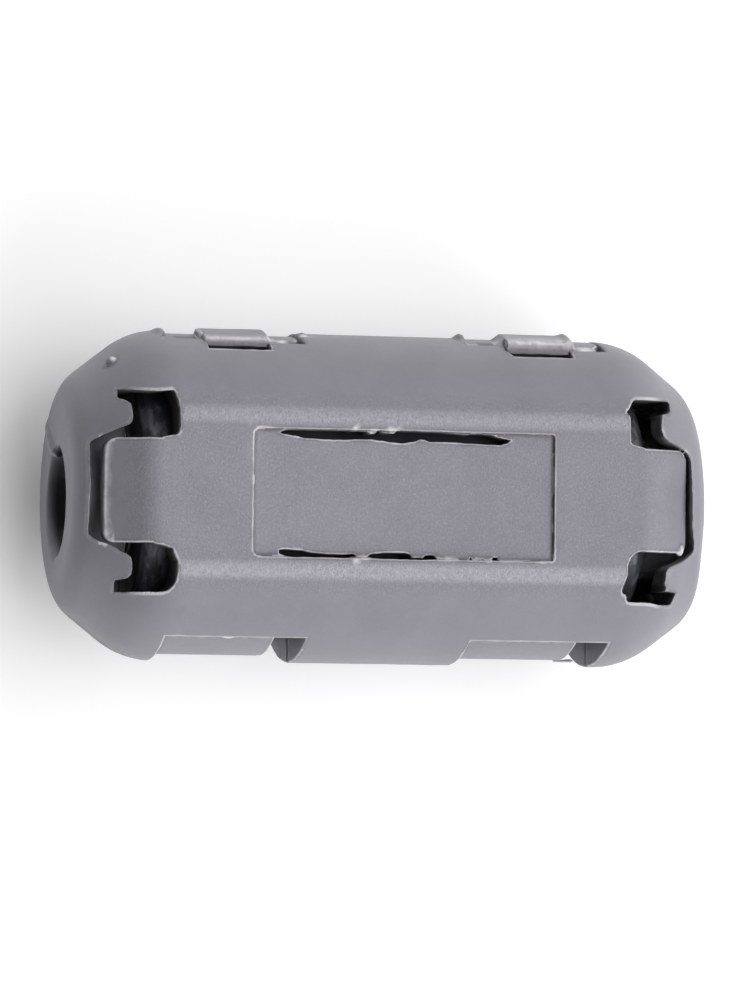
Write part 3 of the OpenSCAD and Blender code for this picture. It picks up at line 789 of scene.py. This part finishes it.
class Nodes:
    """Short calls for building a node tree."""

    def __init__(self, name):
        self.material = bpy.data.materials.new(name)
        self.material.use_nodes = True
        self.tree = self.material.node_tree
        self.shader = self.tree.nodes["Principled BSDF"]
        self.count = 0

    def add(self, kind, **settings):
        n = self.tree.nodes.new(kind)
        n.location = (-1800 + 180 * (self.count % 9), 600 - 220 * (self.count // 9))
        self.count += 1
        for k, v in settings.items():
            setattr(n, k, v)
        return n

    def put(self, socket, value):
        if isinstance(value, bpy.types.NodeSocket):
            self.tree.links.new(value, socket)
        else:
            socket.default_value = value

    def attribute(self, name, vector=False):
        n = self.add("ShaderNodeAttribute", attribute_type="GEOMETRY", attribute_name=name)
        return n.outputs["Vector" if vector else "Fac"]

    def math(self, op, a, b=0.0, c=0.0, clamp=False):
        n = self.add("ShaderNodeMath", operation=op, use_clamp=clamp)
        for i, v in enumerate((a, b, c)):
            self.put(n.inputs[i], v)
        return n.outputs[0]

    def noise(self, vector, scale, detail=2.0, rough=0.55, stretch=None):
        if stretch:
            m = self.add("ShaderNodeVectorMath", operation="MULTIPLY")
            self.put(m.inputs[0], vector)
            self.put(m.inputs[1], stretch)
            vector = m.outputs[0]
        n = self.add("ShaderNodeTexNoise", noise_dimensions="3D")
        self.put(n.inputs["Vector"], vector)
        n.inputs["Scale"].default_value = scale
        n.inputs["Detail"].default_value = detail
        n.inputs["Roughness"].default_value = rough
        return n.outputs["Fac"]

    def span(self, value, a, b, to0=0.0, to1=1.0, smooth=True):
        n = self.add("ShaderNodeMapRange", interpolation_type="SMOOTHSTEP" if smooth else "LINEAR", clamp=True)
        for key, v in (("Value", value), ("From Min", a), ("From Max", b), ("To Min", to0), ("To Max", to1)):
            self.put(n.inputs[key], v)
        return n.outputs["Result"]

    def mix(self, factor, a, b):
        n = self.add("ShaderNodeMix", data_type="RGBA", clamp_factor=True)
        self.put(n.inputs[0], factor)
        self.put(n.inputs[6], a)
        self.put(n.inputs[7], b)
        return n.outputs[2]

    def bump(self, height, distance, strength=1.0, normal=None):
        n = self.add("ShaderNodeBump")
        n.inputs["Strength"].default_value = strength
        n.inputs["Distance"].default_value = distance
        self.put(n.inputs["Height"], height)
        if normal is not None:
            self.put(n.inputs["Normal"], normal)
        return n.outputs["Normal"]


def case_plastic():
    k = Nodes("case_plastic")
    place = k.attribute("place", True)
    edge, nook = k.attribute("edge"), k.attribute("nook")
    pale_and_highlight, painted_shade, soft = k.attribute("pale_and_highlight"), k.attribute("painted_shade"), k.attribute("soft")
    split = k.add("ShaderNodeSeparateXYZ")
    k.put(split.inputs[0], place)
    ay = k.math("ABSOLUTE", split.outputs[1])
    az = k.math("ABSOLUTE", split.outputs[2])
    # the flats are spark eroded, the round sides are smoother
    on_flat = k.span(az, 4.9, 5.5)
    crease = k.math("MULTIPLY", k.span(k.math("ABSOLUTE", k.math("SUBTRACT", ay, 2.98)), 0.12, 0.46, 1, 0), k.span(az, 5.2, 5.45))
    grain = k.noise(place, 11.0, 3.0, 0.62)
    fine_grain = k.noise(place, 27.0, 2.0, 0.6)
    cloud = k.noise(place, 0.55, 3.0, 0.55)
    mottle = k.noise(place, 3.2, 3.0, 0.6)
    specks = k.span(k.noise(place, 5.5, 3.0, 0.7), 0.34, 0.66)
    # colour
    tone = k.mix(k.span(cloud, 0.3, 0.7), (0.209, 0.2055, 0.238, 1), (0.229, 0.2255, 0.26, 1))
    tone = k.mix(k.math("MULTIPLY", k.span(mottle, 0.35, 0.7), 0.3), tone, (0.252, 0.249, 0.284, 1))
    tone = k.mix(k.math("MULTIPLY", k.span(grain, 0.5, 0.75), k.math("MULTIPLY_ADD", on_flat, 0.35, 0.08)), tone, (0.37, 0.36, 0.41, 1))
    tone = k.mix(k.math("MULTIPLY", k.span(grain, 0.3, 0.48, 1, 0), k.math("MULTIPLY_ADD", on_flat, 0.25, 0.08)), tone, (0.154, 0.149, 0.178, 1))
    more = k.span(split.outputs[1], -1.0, 1.0, 0.85, 0.66)
    tone = k.mix(k.math("MULTIPLY", k.math("MULTIPLY_ADD", specks, 0.45, 0.55), k.math("MULTIPLY", crease, more)), tone, (0.44, 0.43, 0.48, 1))
    # painted shade in the concave edges, where shade falls
    tone = k.mix(k.span(nook, 0.0, 0.16, 0.6, 0), tone, (0.085, 0.08, 0.088, 1))
    # painted highlight along the convex edges, held back where soft is high
    lit_edge = k.math("MULTIPLY_ADD", k.math("SUBTRACT", mottle, 0.5), 0.04, edge)
    rim = k.math("MULTIPLY", k.span(lit_edge, 0.0, 0.07, 1, 0), k.span(k.noise(place, 1.6, 2.0), 0.3, 0.65, 0.6, 1.0))
    rim = k.math("MULTIPLY", rim, k.math("SUBTRACT", 1.0, soft))
    tone = k.mix(rim, tone, (0.56, 0.545, 0.58, 1))
    # painted shade down in the holes, slits, slots and chambers
    tone = k.mix(painted_shade, tone, (0.04, 0.032, 0.033, 1))
    # pale where the plastic is whitened, and painted highlight on the left tongue's tip
    tone = k.mix(k.math("MULTIPLY", pale_and_highlight, k.span(mottle, 0.3, 0.6, 0.6, 1)), tone, (0.74, 0.73, 0.75, 1))
    k.put(k.shader.inputs["Base Color"], tone)
    rough = k.math("ADD", k.span(mottle, 0.3, 0.7, 0.5, 0.6), k.math("MULTIPLY", on_flat, 0.08))
    k.put(k.shader.inputs["Roughness"], rough)
    k.shader.inputs["IOR"].default_value = 1.5
    k.shader.inputs["Sheen Weight"].default_value = 0.1
    k.shader.inputs["Sheen Roughness"].default_value = 0.5
    # relief
    height = k.math("MULTIPLY_ADD", fine_grain, 0.45, grain)
    amount = k.math("MULTIPLY_ADD", on_flat, 0.75, 0.25)
    amount = k.math("MULTIPLY_ADD", crease, 0.9, amount)
    k.put(k.shader.inputs["Normal"], k.bump(k.math("MULTIPLY", height, amount), 0.000028))
    return k.material


def ferrite():
    k = Nodes("ferrite")
    place = k.attribute("place", True)
    edge = k.attribute("edge")
    cloud = k.noise(place, 0.8, 3.0, 0.6)
    grain = k.noise(place, 16.0, 3.0, 0.65)
    pits = k.span(k.noise(place, 6.0, 2.0, 0.6), 0.66, 0.74)
    tone = k.mix(k.span(cloud, 0.3, 0.7), (0.04, 0.042, 0.052, 1), (0.062, 0.064, 0.077, 1))
    tone = k.mix(k.span(grain, 0.6, 0.8), tone, (0.085, 0.088, 0.1, 1))
    tone = k.mix(pits, tone, (0.014, 0.014, 0.016, 1))
    # painted highlight along the core's edges
    tone = k.mix(k.span(edge, 0.02, 0.09, 0.5, 0), tone, (0.1, 0.103, 0.115, 1))
    split = k.add("ShaderNodeSeparateXYZ")
    k.put(split.inputs[0], place)
    # painted sheen, lighter and bluer, on the core's ends where the holes show it
    painted_sheen = k.span(k.noise(place, 1.5, 3.0, 0.6, stretch=(1.7, 0.6, 1.0)), 0.5, 0.6)
    painted_sheen = k.math("MULTIPLY", painted_sheen, k.span(k.math("ABSOLUTE", split.outputs[0]), 8.6, 9.1, 0, 0.75))
    tone = k.mix(painted_sheen, tone, (0.15, 0.152, 0.185, 1))
    k.put(k.shader.inputs["Base Color"], tone)
    k.put(k.shader.inputs["Roughness"], k.span(grain, 0.3, 0.7, 0.42, 0.6))
    k.shader.inputs["IOR"].default_value = 1.5
    height = k.math("SUBTRACT", grain, pits)
    k.put(k.shader.inputs["Normal"], k.bump(height, 0.00001))
    return k.material


plastic, ceramic = case_plastic(), ferrite()
for o in (upper_case, lower_case, *straps, *arms):
    o.data.materials.append(plastic)
for o in (upper_ring, lower_ring):
    o.data.materials.append(ceramic)

ride(upper_case, "upper", "case_plastic", "upper_shell")
ride(lower_case, "lower", "case_plastic", "lower_shell")
ride(upper_ring, "upper", "ferrite", "upper_core")
ride(lower_ring, "lower", "ferrite", "lower_core")
for o, word in zip(arms, ("left", "right")):
    ride(o, "lower", "case_plastic", f"latch_arm_{word}")
for o, word in zip(straps, ("left", "right")):
    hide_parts(f"hinge_strap_{word}")
    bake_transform(o)

# ---------------------------------------------------------------- floor, light and camera

floor_mesh = bpy.data.meshes.new("floor")
s, zf = 1.5, -H * MM
floor_mesh.from_pydata([(-s, -s, zf), (s, -s, zf), (s, s, zf), (-s, s, zf)], [], [(0, 1, 2, 3)])
floor = bpy.data.objects.new("floor", floor_mesh)
bpy.context.scene.collection.objects.link(floor)
k = Nodes("floor")
k.shader.inputs["Base Color"].default_value = (0.93, 0.93, 0.93, 1)
k.shader.inputs["Roughness"].default_value = 0.7
k.shader.inputs["Emission Color"].default_value = (1, 1, 1, 1)  # a lit table, so the shadows stay pale
k.shader.inputs["Emission Strength"].default_value = 0.18
floor.data.materials.append(k.material)


def lamp(name, azimuth, elevation, power, distance=0.55, size=0.5):
    a, e = np.radians(azimuth), np.radians(elevation)
    place = Vector((np.cos(e) * np.cos(a), np.cos(e) * np.sin(a), np.sin(e))) * distance
    data = bpy.data.lights.new(name, "AREA")
    data.shape = "DISK"
    data.size, data.energy = size, power
    o = bpy.data.objects.new(name, data)
    bpy.context.scene.collection.objects.link(o)
    o.location = place
    o.rotation_euler = (-place).to_track_quat("-Z", "Y").to_euler()
    return o


lamp("key", 0, 67, 1.98)
lamp("near_side", -60, 35, 2.15)
lamp("far_side", 60, 35, 1.42)
world = bpy.data.worlds.new("studio")
world.use_nodes = True
world.node_tree.nodes["Background"].inputs["Color"].default_value = (1, 1, 1, 1)
world.node_tree.nodes["Background"].inputs["Strength"].default_value = 0.05
bpy.context.scene.world = world
bpy.context.scene.view_settings.view_transform = "Standard"

eye = Vector((-59.72, -10.8, 243.75)) * MM
aim = Vector((0.0, 0.0, 0.8)) * MM
back = (eye - aim).normalized()
right = Vector((-0.00491791, 0.9996684, -0.02527646)).cross(back).normalized()
rise = back.cross(right)
camera = bpy.data.objects.new("camera", bpy.data.cameras.new("camera"))
bpy.context.scene.collection.objects.link(camera)
camera.matrix_world = Matrix((
    (right.x, rise.x, back.x, eye.x), (right.y, rise.y, back.y, eye.y), (right.z, rise.z, back.z, eye.z), (0, 0, 0, 1)))
camera.data.sensor_width = 36
camera.data.lens = 36 * 6400 / 1000
camera.data.clip_start, camera.data.clip_end = 0.01, 10
bpy.context.scene.camera = camera

bpy.context.view_layer.update()
